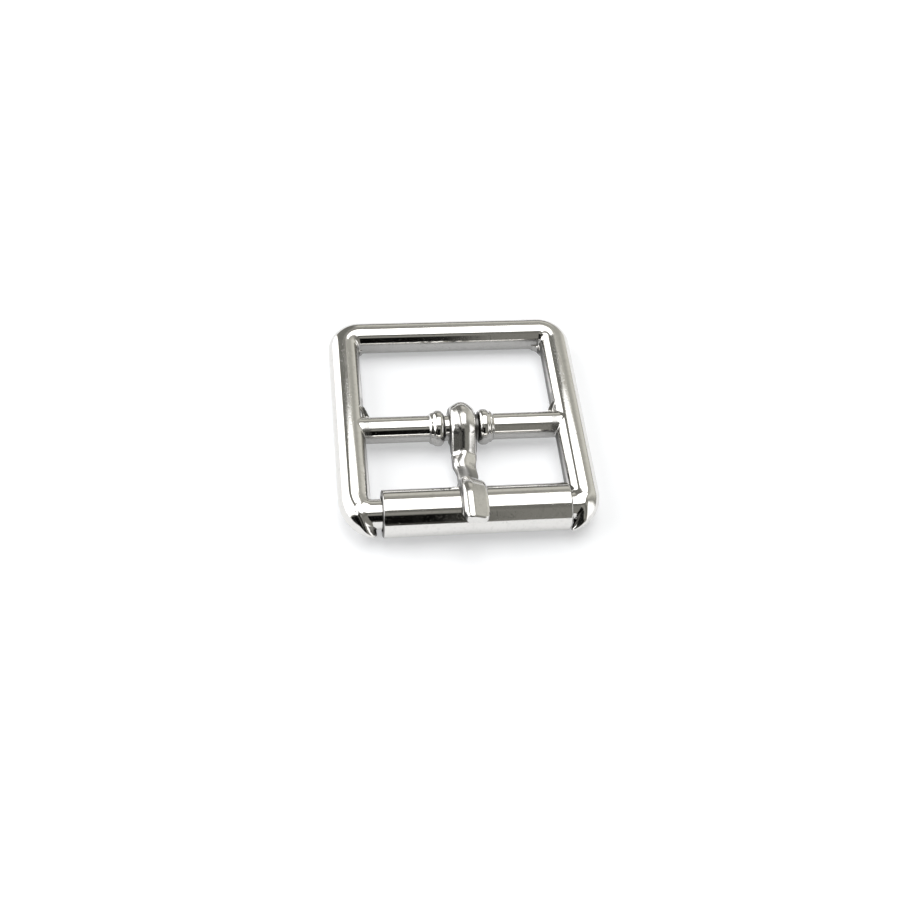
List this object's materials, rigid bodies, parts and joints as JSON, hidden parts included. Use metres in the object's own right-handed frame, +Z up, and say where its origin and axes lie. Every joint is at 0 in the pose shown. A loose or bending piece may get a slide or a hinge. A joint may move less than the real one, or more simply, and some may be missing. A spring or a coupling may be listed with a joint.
{
  "type": "roller buckle",
  "caption": "Roller buckle for a flat strap: a cast rectangular frame of round rod with a centre bar, a loose roller on its front bar and a hooked prong.",
  "frame": {"origin": "middle of the base of the bounding box, on the surface that the buckle lies on", "axes": "+X across the strap to the right, +Y from the roller towards the back bar, +Z up"},
  "size_m": [0.0266, 0.0277, 0.0061],
  "materials": {
    "frame_metal": "polished nickel plating",
    "roller_metal": "polished nickel plating",
    "prong_metal": "polished nickel plating"
  },
  "bodies": {
    "frame": {"frame": "frame_metal"},
    "roller": {"roller": "roller_metal"},
    "prong": {"prong": "prong_metal"}
  },
  "joints": [
    {"name": "prong_pivot", "type": "hinge", "parent": "frame", "child": "prong", "pos_m": [0, -0.00055, 0.00207], "axis": [-1, 0, 0], "range_deg": [0, 154]},
    {"name": "roller_spin", "type": "hinge", "parent": "frame", "child": "roller", "pos_m": [0, -0.01094, 0.00243], "axis": [1, 0, 0], "continuous": true}
  ]
}
